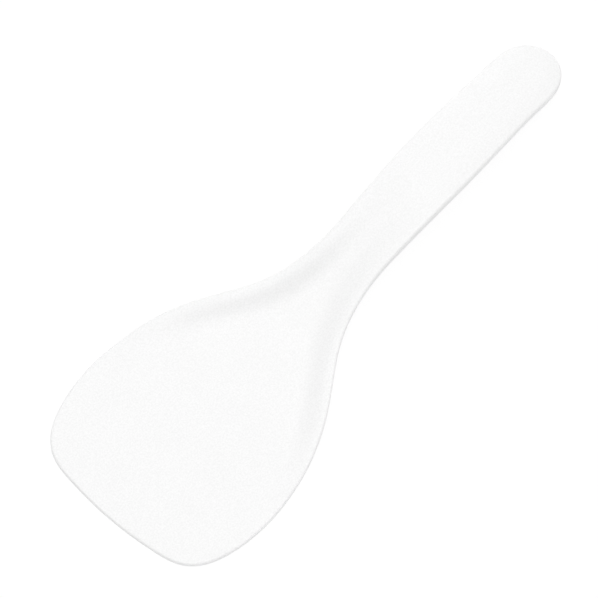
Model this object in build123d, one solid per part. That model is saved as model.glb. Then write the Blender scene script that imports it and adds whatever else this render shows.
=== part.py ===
from build123d import *
import math
import os

# Rice paddle, moulded in one piece of white plastic.
# A flat, thin blade turns up at its shoulders into a shallow scoop.
# The scoop runs out along an arched handle, which comes down to the table again at its rounded end.
# Frame: X runs along the paddle from the blade's tip to the handle's end, Z is up, and Z = 0 is the table.
# The origin lies on the table under the middle of the paddle. All lengths are in millimetres.

# Blade, from its tip to the neck
BLADE_LENGTH = 107.2
BLADE_WIDTH = 70.5
WIDEST_FROM_TIP = 29.7
TIP_WIDTH = 40.5            # the gently bowed front edge
TIP_BOW = 1.8               # how far that edge bows out

# Handle, from the neck to its rounded end
HANDLE_LENGTH = 87.8
NECK_WIDTH = 19.6
GRIP_WIDTH = 21.7
BUTT_WIDTH = 20.4           # where the rounded end starts
BUTT_ROUND_LENGTH = 12.2

# Wall
BLADE_THICKNESS = 1.6
HANDLE_THICKNESS = 3.8
EDGE_RADIUS = 0.7

# Turned-up shoulders
SHOULDER_RISE = 2.3         # how far the rim stands above the floor of the scoop
RIM_WIDTH = 1.2             # the level rim along the edge
SHOULDER_SLOPE_WIDTH = 9.3  # from the rim in to the floor

# Arched handle
ARCH_HEIGHT = 6.7           # underside of the handle above the table, at the top of the arch
FOOT_LENGTH = 3.0           # level strip under the handle's end
GRIP_CROWN = 0.45           # how much the handle's faces swell in the middle
CROWN_WIDTH = 6.0

# The underside is shaped this much too low and then levelled, which leaves the flats that it rests on
LEVELLING = 0.03

# How finely the shaped faces are drawn
OVERRUN = 3.0
ROW_SPACING = 4.0
FACE_TOLERANCE = 0.005
HALF_COLUMNS = 16
OUTLINE_STEPS = 480
OUTLINE_PIECES = 16

# Places where the height starts or stops changing, as shares of the blade from its tip
SHOULDER_START_SHARE = 0.41
SHOULDER_FULL_SHARE = 0.71
SHOULDER_FADE_SHARE = 0.82
THICKENS_SHARE = 0.67
ARCH_START_SHARE = 0.70
# The same as shares of the handle from the neck
SHOULDER_END_SHARE = 0.42
THICKENED_SHARE = 0.35
ARCH_TOP_SHARE = 0.36
ARCH_FALL_SHARE = 0.375
CROWN_START_SHARE = 0.125
CROWN_FULL_SHARE = 0.49
GRIP_SHARE = 0.455

# Outline points as shares of a stretch's length and of the change in half width along it
CORNER_SHARES = ((0.07, 0.35), (0.22, 0.64), (0.50, 0.87), (1.0, 1.0))
SHOULDER_SHARES = (
    (0.156, 0.040), (0.286, 0.133), (0.416, 0.295), (0.545, 0.527), (0.675, 0.768), (0.805, 0.919), (1.0, 1.0)
)
HANDLE_SHARES = ((0.25, 0.16), (0.50, 0.50), (0.75, 0.84), (1.0, 1.0))
# Points of the front edge, from the middle of the tip out to its corner
TIP_SHARES = (0.0, 0.4, 0.75, 1.0)
# Points of the rounded end, as shares of its quarter turn
END_SHARES = (0.33, 0.67)
# The most of the blade's thickness that an edge's radius can take
EDGE_LIMIT_SHARE = 0.45

PADDLE_LENGTH = BLADE_LENGTH + HANDLE_LENGTH
BUTT_FROM_TIP = PADDLE_LENGTH - BUTT_ROUND_LENGTH


def along(from_tip):
    """X of a place at a distance from the tip."""
    return from_tip - PADDLE_LENGTH / 2


def in_blade(share):
    """Distance from the tip of a place in the blade."""
    return BLADE_LENGTH * share


def in_handle(share):
    """Distance from the tip of a place in the handle."""
    return BLADE_LENGTH + HANDLE_LENGTH * share


def between(from_tip, start, end):
    """Goes smoothly from 0 at start to 1 at end."""
    share = min(max((from_tip - start) / (end - start), 0.0), 1.0)
    return share * share * (3.0 - 2.0 * share)


def stretch(start, end, shares):
    """Points from start to end, each a distance from the tip and a half width."""
    (place, half), (end_place, end_half) = start, end
    return [(place + far * (end_place - place), half + wide * (end_half - half)) for far, wide in shares]


def half_outline():
    """Points of one side of the paddle, from the middle of its tip to just before the middle of its end."""
    corner = (TIP_BOW, TIP_WIDTH / 2)
    widest = (WIDEST_FROM_TIP, BLADE_WIDTH / 2)
    neck = (BLADE_LENGTH, NECK_WIDTH / 2)
    grip = (in_handle(GRIP_SHARE), GRIP_WIDTH / 2)
    butt = (BUTT_FROM_TIP, BUTT_WIDTH / 2)
    points = [(TIP_BOW * share ** 2, TIP_WIDTH / 2 * share) for share in TIP_SHARES]
    points += stretch(corner, widest, CORNER_SHARES)
    points += stretch(widest, neck, SHOULDER_SHARES)
    points += stretch(neck, grip, HANDLE_SHARES)
    points += stretch(grip, butt, HANDLE_SHARES)
    for turn in [math.pi / 2 * share for share in END_SHARES]:
        points.append((BUTT_FROM_TIP + BUTT_ROUND_LENGTH * math.sin(turn), BUTT_WIDTH / 2 * math.cos(turn)))
    return points


def outline_edge():
    """The outline seen from above, as one smooth closed curve that runs anticlockwise from the tip."""
    side = half_outline()
    right = [Vector(along(place), -half, 0) for place, half in side]
    left = [Vector(along(place), half, 0) for place, half in side[:0:-1]]
    return Spline(*right, Vector(along(PADDLE_LENGTH), 0, 0), *left, periodic=True)


def thickness(from_tip):
    """Thickness of the wall."""
    thicker = HANDLE_THICKNESS - BLADE_THICKNESS
    return BLADE_THICKNESS + thicker * between(from_tip, in_blade(THICKENS_SHARE), in_handle(THICKENED_SHARE))


def arch(from_tip):
    """Height of the underside above the table, in the middle of its width."""
    rise = ARCH_HEIGHT * between(from_tip, in_blade(ARCH_START_SHARE), in_handle(ARCH_TOP_SHARE))
    fall_start = in_handle(ARCH_FALL_SHARE)
    fall_length = PADDLE_LENGTH - FOOT_LENGTH - fall_start
    return rise - ARCH_HEIGHT * (max(from_tip - fall_start, 0.0) / fall_length) ** 2


def shoulder(from_tip, depth):
    """Height of the turned-up shoulder above the floor of the scoop."""
    risen = math.sqrt(between(from_tip, in_blade(SHOULDER_START_SHARE), in_blade(SHOULDER_FULL_SHARE)))
    faded = between(from_tip, in_blade(SHOULDER_FADE_SHARE), in_handle(SHOULDER_END_SHARE))
    inward = min(max((depth - RIM_WIDTH) / SHOULDER_SLOPE_WIDTH, 0.0), 1.0)
    return SHOULDER_RISE * risen * (1.0 - faded) * math.cos(math.pi / 2 * inward) ** 3


def crown(from_tip, depth):
    """How far a face of the handle falls away towards its edge."""
    outward = max(1.0 - depth / CROWN_WIDTH, 0.0)
    full = between(from_tip, in_handle(CROWN_START_SHARE), in_handle(CROWN_FULL_SHARE))
    return GRIP_CROWN * outward ** 2 * full


def top_height(from_tip, depth):
    """Height of the top face."""
    return arch(from_tip) + thickness(from_tip) + shoulder(from_tip, depth) - crown(from_tip, depth)


def under_height(from_tip, depth):
    """Height of the underside, before it is levelled."""
    return arch(from_tip) + shoulder(from_tip, depth) + crown(from_tip, depth) - LEVELLING


def measured_grid(outline):
    """Rows of places over the paddle, each with its distance from the tip and depth inside the outline."""
    steps = [step / OUTLINE_STEPS for step in range(OUTLINE_STEPS)]
    samples = [(outline @ step, outline % step) for step in steps]
    side = [(point.X, point.Y) for point, _ in reversed(samples) if point.Y > 0]

    def half_width(x):
        x = min(max(x, along(WIDEST_FROM_TIP)), along(BUTT_FROM_TIP))
        for (x1, y1), (x2, y2) in zip(side, side[1:]):
            if x1 <= x <= x2:
                return y1 + (y2 - y1) * (x - x1) / (x2 - x1)

    def depth(x, y):
        point, direction = min(samples, key=lambda sample: math.hypot(sample[0].X - x, sample[0].Y - y))
        return direction.X * (y - point.Y) - direction.Y * (x - point.X)

    length = PADDLE_LENGTH + 2 * OVERRUN
    rows = math.ceil(length / ROW_SPACING)
    turns = [math.pi / 2 * column / HALF_COLUMNS for column in range(-HALF_COLUMNS, HALF_COLUMNS + 1)]
    grid = []
    for row in range(rows + 1):
        from_tip = length * row / rows - OVERRUN
        x = along(from_tip)
        reach = half_width(x) + OVERRUN
        columns = [reach * math.sin(turn) for turn in turns]
        grid.append([(x, y, from_tip, depth(x, y)) for y in columns])
    return grid


def shaped_face(grid, height):
    """A smooth face over the grid."""
    points = [[Vector(x, y, height(from_tip, depth)) for x, y, from_tip, depth in row] for row in grid]
    return Face.make_surface_from_array_of_points(points, tol=FACE_TOLERANCE, min_deg=3, max_deg=3)


def paddle():
    """The whole paddle as one solid."""
    outline = outline_edge()
    grid = measured_grid(outline)
    reach = PADDLE_LENGTH / 2
    cuts = [cut / OUTLINE_PIECES for cut in range(OUTLINE_PIECES + 1)]
    pieces = [outline.trim(start, end) for start, end in zip(cuts, cuts[1:])]
    body = extrude(Pos(0, 0, -reach) * make_face(Wire(pieces)), 2 * reach)
    body = split(body, bisect_by=shaped_face(grid, top_height), keep=Keep.BOTTOM)
    body = split(body, bisect_by=shaped_face(grid, under_height), keep=Keep.TOP).solid()
    radius = min(EDGE_RADIUS, EDGE_LIMIT_SHARE * BLADE_THICKNESS)
    body = body.fillet(radius, body.edges().filter_by(Axis.Z, reverse=True))
    return split(body, bisect_by=Plane.XY, keep=Keep.TOP).solid()


if __name__ == "__main__":
    os.makedirs("parts", exist_ok=True)
    export_step(paddle(), "parts/paddle.step")
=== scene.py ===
# %% [markdown]
# A rice paddle, dressed for its photograph
#
# The paddle is one moulding of white plastic. Its blade is flat and thin, its shoulders turn up
# into a shallow scoop, and the scoop runs out along an arched handle.
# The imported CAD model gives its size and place. This notebook makes a fine skin on the same form,
# so that soft light runs over it without facets, and then adds the plastic, the floor, the lights
# and the camera.

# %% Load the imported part
import bpy
import math
import numpy as np
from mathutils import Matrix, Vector


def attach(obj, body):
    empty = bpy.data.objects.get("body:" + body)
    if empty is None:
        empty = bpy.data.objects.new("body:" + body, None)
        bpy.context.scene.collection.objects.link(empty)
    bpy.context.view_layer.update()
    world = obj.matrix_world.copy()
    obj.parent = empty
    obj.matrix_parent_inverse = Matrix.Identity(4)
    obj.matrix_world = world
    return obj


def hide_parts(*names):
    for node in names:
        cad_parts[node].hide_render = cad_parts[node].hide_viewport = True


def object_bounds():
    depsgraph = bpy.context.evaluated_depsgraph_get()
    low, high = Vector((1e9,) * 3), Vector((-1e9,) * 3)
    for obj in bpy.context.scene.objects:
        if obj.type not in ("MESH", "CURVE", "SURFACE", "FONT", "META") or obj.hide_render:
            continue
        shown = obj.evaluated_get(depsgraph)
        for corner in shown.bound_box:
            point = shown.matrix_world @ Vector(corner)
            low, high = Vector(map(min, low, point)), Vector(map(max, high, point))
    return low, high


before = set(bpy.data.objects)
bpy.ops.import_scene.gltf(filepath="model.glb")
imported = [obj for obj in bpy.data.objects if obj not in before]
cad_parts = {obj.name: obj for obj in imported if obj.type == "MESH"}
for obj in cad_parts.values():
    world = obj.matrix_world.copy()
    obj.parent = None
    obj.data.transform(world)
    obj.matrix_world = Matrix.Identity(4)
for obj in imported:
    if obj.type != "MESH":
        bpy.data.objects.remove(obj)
cad_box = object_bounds()
print("CAD nodes:", sorted(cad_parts))

# %% [markdown]
# Camera
#
# The paddle lies on its back and is seen from high above one side, through a long lens, so that its
# near and far ends are drawn at almost one scale. A long lens and a long distance go together, and
# both were found by fitting the outline of the part to the outline in the picture.
# The camera looks along a line given by two angles: the azimuth turns it round the object, and the
# elevation lifts it above the floor.

# %% Place the camera
MM = 0.001
PICTURE_PIXELS = 598
AZIMUTH = math.radians(-48.40)
ELEVATION = math.radians(68.35)
DISTANCE = 1200 * MM
PIXELS_PER_METRE = 3420.5          # at the distance of the object
ORIGIN_PIXEL = (334.32, 282.44)    # where the part's origin falls in the picture
SENSOR_WIDTH = 36                  # in millimetres, as the lens is
FARTHEST_SEEN = 20                 # in metres

back = Vector((
    math.sin(AZIMUTH) * math.cos(ELEVATION),
    -math.cos(AZIMUTH) * math.cos(ELEVATION),
    math.sin(ELEVATION),
))
right = Vector((math.cos(AZIMUTH), math.sin(AZIMUTH), 0))
up = back.cross(right)
to_the_right = (PICTURE_PIXELS / 2 - ORIGIN_PIXEL[0]) / PIXELS_PER_METRE
upwards = (ORIGIN_PIXEL[1] - PICTURE_PIXELS / 2) / PIXELS_PER_METRE
aim = right * to_the_right + up * upwards

lens = bpy.data.cameras.new("camera")
lens.sensor_width = SENSOR_WIDTH
lens.lens = SENSOR_WIDTH * PIXELS_PER_METRE * DISTANCE / PICTURE_PIXELS
lens.clip_end = FARTHEST_SEEN
camera = bpy.data.objects.new("camera", lens)
bpy.context.scene.collection.objects.link(camera)
camera.location = aim + back * DISTANCE
camera.rotation_euler = back.to_track_quat("Z", "Y").to_euler()
bpy.context.scene.camera = camera
bpy.context.scene.view_settings.view_transform = "Standard"
print("lens", round(lens.lens, 1), "mm")

# %% [markdown]
# Outline
#
# Seen from above, the paddle is one smooth closed curve, the same on both sides of its middle. It
# could be drawn as a Bezier curve by hand, but its handles would have to be tuned by eye. A cubic
# spline through a few measured widths is smooth by itself, and it is the curve that the CAD part
# has. The widths are real sizes in millimetres, and the points between them are shares of a
# stretch.

# %% Sizes of the outline
BLADE_LENGTH = 107.2
BLADE_WIDTH = 70.5
WIDEST_FROM_TIP = 29.7
TIP_WIDTH = 40.5
TIP_BOW = 1.8
HANDLE_LENGTH = 87.8
NECK_WIDTH = 19.6
GRIP_WIDTH = 21.7
BUTT_WIDTH = 20.4
BUTT_ROUND_LENGTH = 12.2
PADDLE_LENGTH = BLADE_LENGTH + HANDLE_LENGTH
BUTT_FROM_TIP = PADDLE_LENGTH - BUTT_ROUND_LENGTH

GRIP_SHARE = 0.455
TIP_SHARES = (0.0, 0.4, 0.75, 1.0)
CORNER_SHARES = ((0.07, 0.35), (0.22, 0.64), (0.50, 0.87), (1.0, 1.0))
SHOULDER_SHARES = (
    (0.156, 0.040), (0.286, 0.133), (0.416, 0.295), (0.545, 0.527),
    (0.675, 0.768), (0.805, 0.919), (1.0, 1.0),
)
HANDLE_SHARES = ((0.25, 0.16), (0.50, 0.50), (0.75, 0.84), (1.0, 1.0))
END_SHARES = (0.33, 0.67)


def stretch(start, end, shares):
    """Points from start to end, each a distance from the tip and a half width."""
    (place, half), (end_place, end_half) = start, end
    return [
        (place + far * (end_place - place), half + wide * (end_half - half))
        for far, wide in shares
    ]


def side_points():
    """Points of the left side, from the middle of the tip to just before the middle of the end."""
    corner = (TIP_BOW, TIP_WIDTH / 2)
    widest = (WIDEST_FROM_TIP, BLADE_WIDTH / 2)
    neck = (BLADE_LENGTH, NECK_WIDTH / 2)
    grip = (BLADE_LENGTH + HANDLE_LENGTH * GRIP_SHARE, GRIP_WIDTH / 2)
    butt = (BUTT_FROM_TIP, BUTT_WIDTH / 2)
    points = [(TIP_BOW * share ** 2, TIP_WIDTH / 2 * share) for share in TIP_SHARES]
    points += stretch(corner, widest, CORNER_SHARES)
    points += stretch(widest, neck, SHOULDER_SHARES)
    points += stretch(neck, grip, HANDLE_SHARES)
    points += stretch(grip, butt, HANDLE_SHARES)
    for turn in [math.pi / 2 * share for share in END_SHARES]:
        place = BUTT_FROM_TIP + BUTT_ROUND_LENGTH * math.sin(turn)
        points.append((place, BUTT_WIDTH / 2 * math.cos(turn)))
    return points


side = side_points()
loop = np.array(side + [(PADDLE_LENGTH, 0.0)] + [(place, -half) for place, half in side[:0:-1]])
print("outline drawn through", len(loop), "points")

# %% [markdown]
# A spline through the points
#
# A cubic spline is a chain of short cubic pieces that share their direction and their bend where
# they meet. The unknowns are the directions at the points, and one set of linear equations gives
# them all. Because the chain is closed, the first point's neighbour is the last one.

# %% Solve the closed spline and walk along it
STATIONS = 200            # along one side, from the middle of the tip to the middle of the end
FINE_STEPS = 40           # to each piece, which sets them about a quarter of a millimetre apart


def closed_spline(points, steps):
    """Places along the closed cubic spline through points, with steps places to each piece."""
    count = len(points)
    ahead = np.roll(points, -1, axis=0) - points
    gap = np.linalg.norm(ahead, axis=1)
    system = np.zeros((count, count))
    known = np.zeros_like(points)
    for here in range(count):
        before, after = gap[here - 1], gap[here]
        system[here, here - 1] = after
        system[here, here] = 2 * (before + after)
        system[here, (here + 1) % count] = before
        known[here] = 3 * (after * ahead[here - 1] / before + before * ahead[here] / after)
    slope = np.linalg.solve(system, known)
    t = (np.arange(steps) / steps)[:, None]
    walk = []
    for here in range(count):
        there = (here + 1) % count
        start, end = points[here], points[there]
        leave, arrive = slope[here] * gap[here], slope[there] * gap[here]
        walk.append(
            (2 * t ** 3 - 3 * t ** 2 + 1) * start + (t ** 3 - 2 * t ** 2 + t) * leave
            + (3 * t ** 2 - 2 * t ** 3) * end + (t ** 3 - t ** 2) * arrive
        )
    return np.concatenate(walk)


fine = closed_spline(loop, FINE_STEPS)
half_walk = fine[: len(side) * FINE_STEPS + 1]
walked = np.concatenate([[0.0], np.cumsum(np.linalg.norm(np.diff(half_walk, axis=0), axis=1))])
even = np.linspace(0.0, walked[-1], STATIONS + 1)
edge_line = np.column_stack([np.interp(even, walked, half_walk[:, axis]) for axis in (0, 1)])
edge_line[[0, -1], 1] = 0.0
print("one side of the outline is", round(walked[-1], 1), "mm long")

# %% [markdown]
# Heights
#
# Everything that isn't flat about the paddle is told by four gentle changes of height: the wall
# thickens into the handle, the underside arches clear of the table, the rim of each shoulder turns
# up, and the handle's faces swell a little in the middle. Each one depends on how far a place is
# from the tip, and two of them also on how deep it lies inside the outline.
# A sculpted mesh could hold the same form, but formulas keep it fair, and soft light on a smooth
# skin shows every place that isn't.

# %% Sizes of the section
BLADE_THICKNESS = 1.6
HANDLE_THICKNESS = 3.8
EDGE_RADIUS = 0.7
SHOULDER_RISE = 2.3
RIM_WIDTH = 1.2
SHOULDER_SLOPE_WIDTH = 9.3
ARCH_HEIGHT = 6.7
FOOT_LENGTH = 3.0
GRIP_CROWN = 0.45
CROWN_WIDTH = 6.0
LEVELLING = 0.03

SHOULDER_START_SHARE = 0.41
SHOULDER_FULL_SHARE = 0.71
SHOULDER_FADE_SHARE = 0.82
THICKENS_SHARE = 0.67
ARCH_START_SHARE = 0.70
SHOULDER_END_SHARE = 0.42
THICKENED_SHARE = 0.35
ARCH_TOP_SHARE = 0.36
ARCH_FALL_SHARE = 0.375
CROWN_START_SHARE = 0.125
CROWN_FULL_SHARE = 0.49


def in_blade(share):
    """Distance from the tip of a place in the blade."""
    return BLADE_LENGTH * share


def in_handle(share):
    """Distance from the tip of a place in the handle."""
    return BLADE_LENGTH + HANDLE_LENGTH * share


def between(place, start, end):
    """Goes smoothly from 0 at start to 1 at end."""
    share = np.clip((place - start) / (end - start), 0.0, 1.0)
    return share * share * (3.0 - 2.0 * share)


def thickness(place):
    """Thickness of the wall."""
    thicker = between(place, in_blade(THICKENS_SHARE), in_handle(THICKENED_SHARE))
    return BLADE_THICKNESS + (HANDLE_THICKNESS - BLADE_THICKNESS) * thicker


def arch(place):
    """Height of the underside above the table, in the middle of its width."""
    rise = ARCH_HEIGHT * between(place, in_blade(ARCH_START_SHARE), in_handle(ARCH_TOP_SHARE))
    fall_start = in_handle(ARCH_FALL_SHARE)
    fall = np.maximum(place - fall_start, 0.0) / (PADDLE_LENGTH - FOOT_LENGTH - fall_start)
    return rise - ARCH_HEIGHT * fall ** 2


def shoulder(place, depth):
    """Height of the turned-up shoulder above the floor of the scoop."""
    risen = np.sqrt(between(place, in_blade(SHOULDER_START_SHARE), in_blade(SHOULDER_FULL_SHARE)))
    faded = between(place, in_blade(SHOULDER_FADE_SHARE), in_handle(SHOULDER_END_SHARE))
    inward = np.clip((depth - RIM_WIDTH) / SHOULDER_SLOPE_WIDTH, 0.0, 1.0)
    return SHOULDER_RISE * risen * (1.0 - faded) * np.cos(math.pi / 2 * inward) ** 3


def crown(place, depth):
    """How far a face of the handle falls away towards its edge."""
    outward = np.maximum(1.0 - depth / CROWN_WIDTH, 0.0)
    full = between(place, in_handle(CROWN_START_SHARE), in_handle(CROWN_FULL_SHARE))
    return GRIP_CROWN * outward ** 2 * full


def top_height(place, depth):
    """Height of the top face."""
    return arch(place) + thickness(place) + shoulder(place, depth) - crown(place, depth)


def under_height(place, depth):
    """Height of the underside, before it is levelled at the table."""
    return arch(place) + shoulder(place, depth) + crown(place, depth) - LEVELLING


arch_top = float(top_height(in_handle(ARCH_TOP_SHARE), CROWN_WIDTH))
print("top of the arch", round(arch_top, 2), "mm above the table")

# %% [markdown]
# Depth inside the outline
#
# The rim and the swell need the distance of each place from the nearest edge. The nearest of many
# places along the outline is found first, and the distance is then taken to the straight line that
# touches the outline there. With places a quarter of a millimetre apart that is exact enough, and
# it gives no steps of its own.

# %% Measure the depth
PLACES_AT_A_TIME = 2000   # more at a time would only take more memory

touching = np.roll(fine, -1, axis=0) - np.roll(fine, 1, axis=0)
touching /= np.linalg.norm(touching, axis=1)[:, None]


def depth_inside(places):
    """Distance from the outline of each place, counted inwards."""
    depths = []
    for chunk in np.array_split(places, 1 + len(places) // PLACES_AT_A_TIME):
        nearest = np.argmin(((chunk[:, None, :] - fine[None, :, :]) ** 2).sum(axis=2), axis=1)
        away = chunk - fine[nearest]
        depths.append(away[:, 0] * touching[nearest, 1] - away[:, 1] * touching[nearest, 0])
    return np.concatenate(depths)


middle_depth = depth_inside(np.array([[BLADE_LENGTH / 2, 0.0]]))[0]
print("depth of the middle of the blade", round(float(middle_depth), 2), "mm")

# %% [markdown]
# Skin
#
# The skin is laid in two kinds of rows. Round the edge run closed rings, which turn over the
# rounded rim from the top to the underside. Inside the innermost ring, ribs cross the paddle from
# one side to the other. At the tip and at the end the ribs bow, so that they fan out from the
# middle instead of bunching up.
# Rows that follow the form like this shade more evenly than a mesh cut by a square grid.

# %% Rows round the edge
INNER_RING = 2.2
TURN_STEPS = 7
WALL_SHARES = (0.0, 0.25, 0.5, 0.75, 1.0)


def mirrored(line):
    """A closed ring from the points of the left side, with the right side as its mirror image."""
    return np.concatenate([line, line[-2:0:-1] * (1, -1)])


direction = np.gradient(edge_line, axis=0)
direction[[0, -1]] = ((0, 1), (0, -1))
direction /= np.linalg.norm(direction, axis=1)[:, None]
inward = np.column_stack([direction[:, 1], -direction[:, 0]])


def inset_ring(depth):
    """The outline moved inwards by depth."""
    return mirrored(edge_line + inward * depth)


def edge_rings():
    """Rings over the rounded edge, from the innermost on top to the innermost below."""
    turns = [math.pi / 2 * step / TURN_STEPS for step in range(TURN_STEPS + 1)]
    rows = [(INNER_RING, 0.0), ((INNER_RING + EDGE_RADIUS) / 2, 0.0)]
    for turn in turns:
        rows.append((EDGE_RADIUS * (1 - math.sin(turn)), EDGE_RADIUS * (1 - math.cos(turn))))
    rings = []
    for over, height in ((1, top_height), (-1, under_height)):
        half = []
        for depth, drop in rows:
            ring = inset_ring(depth)
            level = height(ring[:, 0], np.full(len(ring), depth)) - over * drop
            half.append(np.column_stack([ring, level]))
        rings.append(half)
    above, below = rings
    wall = [above[-1] + (below[-1] - above[-1]) * share for share in WALL_SHARES[1:-1]]
    return above + wall + below[::-1]


rings = edge_rings()
print(len(rings), "rings of", len(rings[0]), "points")

# %% [markdown]
# Ribs across the top and the underside
#
# Each rib joins two facing points of the innermost ring. Its height comes from the same formulas as
# the ring's, so the two kinds of rows meet without a step.

# %% Rows across the paddle
RIB_COLUMNS = 26
RIB_CROWDING = math.radians(62)     # more columns near the edges, where the shoulders turn up
TIP_BOWING = 32.0
END_BOWING = 14.0
BOWING_SHARE = 0.6


def rib_places():
    """Places on the ribs between the inner ring's facing points, without those points."""
    inner = edge_line + inward * INNER_RING
    from_tip = even
    from_end = even[-1] - even
    middle = inner[:, 0] + BOWING_SHARE * from_tip * np.exp(-(from_tip / TIP_BOWING) ** 2)
    middle = middle - BOWING_SHARE * from_end * np.exp(-(from_end / END_BOWING) ** 2)
    steps = np.arange(1 - RIB_COLUMNS, RIB_COLUMNS) / RIB_COLUMNS
    across = np.sin(RIB_CROWDING * steps) / math.sin(RIB_CROWDING)
    ribs = []
    for station in range(1, STATIONS):
        x = middle[station] + (inner[station, 0] - middle[station]) * across ** 2
        ribs.append(np.column_stack([x, inner[station, 1] * across]))
    return np.array(ribs)


ribs = rib_places()
rib_depth = depth_inside(ribs.reshape(-1, 2)).reshape(ribs.shape[:2])
rib_top = top_height(ribs[:, :, 0], rib_depth)
rib_under = under_height(ribs[:, :, 0], rib_depth)
print(ribs.shape[0], "ribs of", ribs.shape[1], "points")

# %% [markdown]
# Joining the rows
#
# The rows become one closed mesh of four-sided faces, with three-sided ones only where the ribs fan
# out. The origin of the part lies under its middle, so half the length comes off each distance
# from the tip. The points are then held inside the box of the part, which levels the underside at
# the height of the table.

# %% Build the mesh
def quad_strip(first, second, flip):
    """Faces between two rows of equal length."""
    faces = []
    for a, b, c, d in zip(first, first[1:], second[1:], second):
        faces.append((a, d, c, b) if flip else (a, b, c, d))
    return faces


def skin_faces(ring_count, ring_size, rib_start):
    """Faces of the whole skin, for vertices in the order of rings, top ribs and ribs below."""
    faces = []
    for row in range(ring_count - 1):
        one = list(range(row * ring_size, (row + 1) * ring_size))
        two = [point + ring_size for point in one]
        faces += quad_strip(one + one[:1], two + two[:1], flip=False)
    rib_size = 2 * RIB_COLUMNS - 1
    under_start = rib_start + (STATIONS - 1) * rib_size
    under_base = (ring_count - 1) * ring_size
    for flip, base, start in ((True, 0, rib_start), (False, under_base, under_start)):
        rows = []
        for station in range(1, STATIONS):
            inside = list(range(start + (station - 1) * rib_size, start + station * rib_size))
            rows.append([base + ring_size - station] + inside + [base + station])
        for one, two in zip(rows, rows[1:]):
            faces += quad_strip(one, two, flip)
        for pole, row, turned in ((base, rows[0], flip), (base + STATIONS, rows[-1], not flip)):
            for a, b in zip(row, row[1:]):
                faces.append((pole, a, b) if turned else (pole, b, a))
    return faces


ring_points = np.concatenate(rings)
top_points = np.column_stack([ribs.reshape(-1, 2), rib_top.ravel()])
under_points = np.column_stack([ribs.reshape(-1, 2), rib_under.ravel()])
points = np.concatenate([ring_points, top_points, under_points])
points[:, 0] -= PADDLE_LENGTH / 2
points = np.clip(points * MM, *cad_box)

skin = bpy.data.meshes.new("paddle_skin")
skin.from_pydata(points.tolist(), [], skin_faces(len(rings), len(rings[0]), len(ring_points)))
skin.validate()
skin.shade_smooth()
paddle = bpy.data.objects.new("paddle_skin", skin)
bpy.context.scene.collection.objects.link(paddle)
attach(paddle, "root")
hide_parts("paddle")
print(len(skin.vertices), "vertices and", len(skin.polygons), "faces")

# %% [markdown]
# White plastic
#
# The plastic is white all through and neutral, with a satin skin that the mould gave it: a very
# fine even grain, like the skin of a pear, which breaks up reflections. Its pits are drawn a
# little darker, and that darkening is painted shade. The grain is far too small to model, so one
# noise of about half a millimetre makes both the bump and the painted shade in the pits. A second,
# slower noise lets the gloss wander a little, as it does where the plastic cooled unevenly.
# A picture of plastic could be laid on instead, but noise has no seams and follows every size of
# the part.

# %% Make the plastic
PLASTIC_IOR = 1.49
GRAIN_SIZE, GRAIN_DETAIL = 0.5 * MM, 3
PATCH_SIZE, PATCH_DETAIL = 14 * MM, 2
# The pits' darker white is painted shade. The plastic itself is one even white, and only the
# grain's low places are drawn darker.
PAINTED_PIT_SHADE_WHITE, PEAK_WHITE = 0.90, 0.96
PIT_LEVEL, PEAK_LEVEL = 0.35, 0.65              # of the grain's noise
GRAIN_STRENGTH, GRAIN_DEPTH = 0.5, 0.03 * MM    # of the bump
PATCH_LEVELS = (0.3, 0.7)                       # of the patches' noise
PATCH_ROUGHNESS = (0.36, 0.46)                  # at those two levels


def grey(level):
    return (level, level, level, 1)


def link(tree, source, output, target, socket):
    tree.links.new(source.outputs[output], target.inputs[socket])


def noise(tree, place, size, detail):
    """A noise whose patches are about size across, in metres."""
    node = tree.nodes.new("ShaderNodeTexNoise")
    node.inputs["Scale"].default_value = 1 / size
    node.inputs["Detail"].default_value = detail
    link(tree, place, "Object", node, "Vector")
    return node


def white_plastic():
    material = bpy.data.materials.new("white_plastic")
    material.use_nodes = True
    tree = material.node_tree
    shader = tree.nodes["Principled BSDF"]
    shader.inputs["IOR"].default_value = PLASTIC_IOR
    place = tree.nodes.new("ShaderNodeTexCoord")
    grain = noise(tree, place, GRAIN_SIZE, GRAIN_DETAIL)
    patches = noise(tree, place, PATCH_SIZE, PATCH_DETAIL)

    # Painted shade: the grain's low places, which the bump sinks, are given a darker white.
    grain_and_pit_shade = tree.nodes.new("ShaderNodeValToRGB")
    shaded_pit, peak = grain_and_pit_shade.color_ramp.elements
    shaded_pit.position, shaded_pit.color = PIT_LEVEL, grey(PAINTED_PIT_SHADE_WHITE)
    peak.position, peak.color = PEAK_LEVEL, grey(PEAK_WHITE)
    link(tree, grain, "Fac", grain_and_pit_shade, "Fac")
    link(tree, grain_and_pit_shade, "Color", shader, "Base Color")

    gloss = tree.nodes.new("ShaderNodeMapRange")
    for end, level, roughness in zip(("Min", "Max"), PATCH_LEVELS, PATCH_ROUGHNESS):
        gloss.inputs["From " + end].default_value = level
        gloss.inputs["To " + end].default_value = roughness
    link(tree, patches, "Fac", gloss, "Value")
    link(tree, gloss, "Result", shader, "Roughness")

    bump = tree.nodes.new("ShaderNodeBump")
    bump.inputs["Strength"].default_value = GRAIN_STRENGTH
    bump.inputs["Distance"].default_value = GRAIN_DEPTH
    link(tree, grain, "Fac", bump, "Height")
    link(tree, bump, "Normal", shader, "Normal")
    return material


skin.materials.append(white_plastic())
print("material:", skin.materials[0].name, "with a grain of", round(GRAIN_SIZE / MM, 1), "mm")

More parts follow.
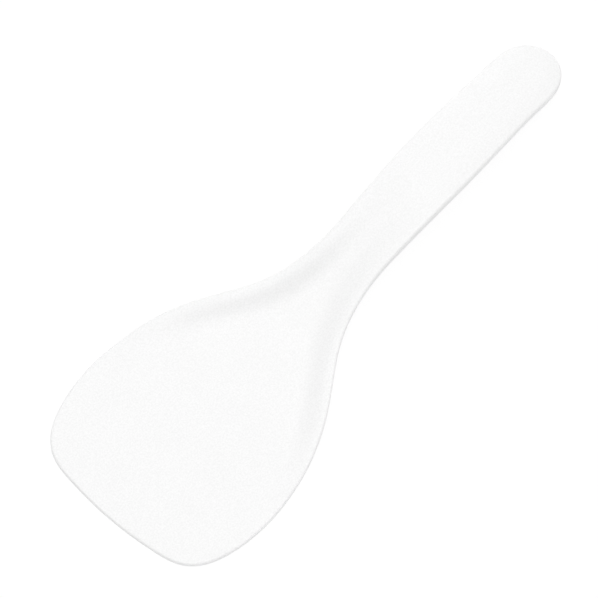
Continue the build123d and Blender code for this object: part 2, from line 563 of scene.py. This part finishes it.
# %% [markdown]
# Floor
#
# The paddle lies on white paper. For bounced light the floor is just that, a plain white surface,
# and what comes back from it keeps the paddle's thin edges from going dark.
# Paper that is lit like the paddle would be drawn a little grey. The picture has a pure white
# ground, so for the camera most of the floor's white comes from a glow, and a small share stays
# paper, which keeps the paddle's faint shadow. Light Path tells the two kinds of rays apart.

# %% Lay the floor
FLOOR_HALF = 8.0            # in metres
FLOOR_DROP = 0.02 * MM      # keeps the floor out of the plane of the paddle's flat underside
PAPER_WHITE = 0.95
GLOW_SHARE = 0.94
SHADOW_SHARE = 0.08
WHITE = grey(1)


def seen_directly(tree):
    """1 for rays that draw the picture or a reflection in it, and 0 for bounced light."""
    path = tree.nodes.new("ShaderNodeLightPath")
    total = None
    for name in ("Is Camera Ray", "Is Glossy Ray", "Is Transmission Ray"):
        if total is None:
            total = path.outputs[name]
            continue
        add = tree.nodes.new("ShaderNodeMath")
        add.operation = "ADD"
        add.use_clamp = True
        tree.links.new(total, add.inputs[0])
        tree.links.new(path.outputs[name], add.inputs[1])
        total = add.outputs[0]
    return total


def choose_by_ray(tree, bounced, seen, output):
    """Gives the output one shader for bounced light and another for what is seen directly."""
    choose = tree.nodes.new("ShaderNodeMixShader")
    tree.links.new(seen_directly(tree), choose.inputs[0])
    link(tree, bounced, 0, choose, 1)
    link(tree, seen, 0, choose, 2)
    link(tree, choose, 0, output, "Surface")


def floor_paint():
    material = bpy.data.materials.new("floor_paint")
    material.use_nodes = True
    tree = material.node_tree
    tree.nodes.remove(tree.nodes["Principled BSDF"])
    paper = tree.nodes.new("ShaderNodeBsdfDiffuse")
    paper.inputs["Color"].default_value = grey(PAPER_WHITE)
    glow = tree.nodes.new("ShaderNodeEmission")
    glow.inputs["Color"].default_value = WHITE
    glow.inputs["Strength"].default_value = GLOW_SHARE
    shaded = tree.nodes.new("ShaderNodeBsdfDiffuse")
    shaded.inputs["Color"].default_value = grey(SHADOW_SHARE)
    glowing_paper = tree.nodes.new("ShaderNodeAddShader")
    link(tree, glow, 0, glowing_paper, 0)
    link(tree, shaded, 0, glowing_paper, 1)
    choose_by_ray(tree, paper, glowing_paper, tree.nodes["Material Output"])
    return material


ground = bpy.data.meshes.new("floor")
corners = [
    (x * FLOOR_HALF, y * FLOOR_HALF, -FLOOR_DROP)
    for x, y in ((-1, -1), (1, -1), (1, 1), (-1, 1))
]
ground.from_pydata(corners, [], [(0, 1, 2, 3)])
floor = bpy.data.objects.new("floor", ground)
bpy.context.scene.collection.objects.link(floor)
floor.data.materials.append(floor_paint())
print("floor", 2 * FLOOR_HALF, "m across")

# %% [markdown]
# Light
#
# The picture has the even light of a white tent: slopes darken only a little, and no edge throws a
# hard shadow. A plain white sky gives more than half of it. Three square soft lamps give the rest:
# one straight above, a weaker one beyond the far side of the handle, which brightens the slope that
# runs down to the handle's end, and a weak low one on the near side, which works like a white card
# and lifts the near edges.
# Each lamp's place is told by how far it leans from straight up and by its turn from the line of
# the handle.

# %% Light the paddle
SKY_STRENGTH = 0.555
LAMP_DISTANCE = 1.5         # in metres
LAMPS = (
    # name, lean and turn in degrees, size in metres, power in watts
    ("overhead_lamp", 0, 0, 1.2, 8.45),
    ("far_lamp", 50, 48, 1.2, 4.6),
    ("near_card", 75, -100, 1.0, 1.1),
)


def sky():
    world = bpy.data.worlds.new("sky")
    world.use_nodes = True
    tree = world.node_tree
    light = tree.nodes["Background"]
    light.inputs["Strength"].default_value = SKY_STRENGTH
    white = tree.nodes.new("ShaderNodeBackground")
    white.inputs["Strength"].default_value = 1.0
    for background in (light, white):
        background.inputs["Color"].default_value = WHITE
    choose_by_ray(tree, light, white, tree.nodes["World Output"])
    return world


def soft_lamp(name, lean, turn, size, power):
    data = bpy.data.lights.new(name, "AREA")
    data.shape = "SQUARE"
    data.size = size
    data.energy = power
    lamp = bpy.data.objects.new(name, data)
    bpy.context.scene.collection.objects.link(lamp)
    lean, turn = math.radians(lean), math.radians(turn)
    towards = Vector((
        math.sin(lean) * math.cos(turn),
        math.sin(lean) * math.sin(turn),
        math.cos(lean),
    ))
    lamp.location = towards * LAMP_DISTANCE
    lamp.rotation_euler = towards.to_track_quat("Z", "Y").to_euler()
    return lamp


bpy.context.scene.world = sky()
for settings in LAMPS:
    lamp = soft_lamp(*settings)
    print(lamp.name, "at", [round(value, 2) for value in lamp.location])

# %% [markdown]
# Sizes
#
# The skin has to fill the same box as the CAD part. The CAD part's box is printed.

# %% Print the CAD box and finish
print("CAD box", [[round(value / MM, 2) for value in corner] for corner in cad_box])
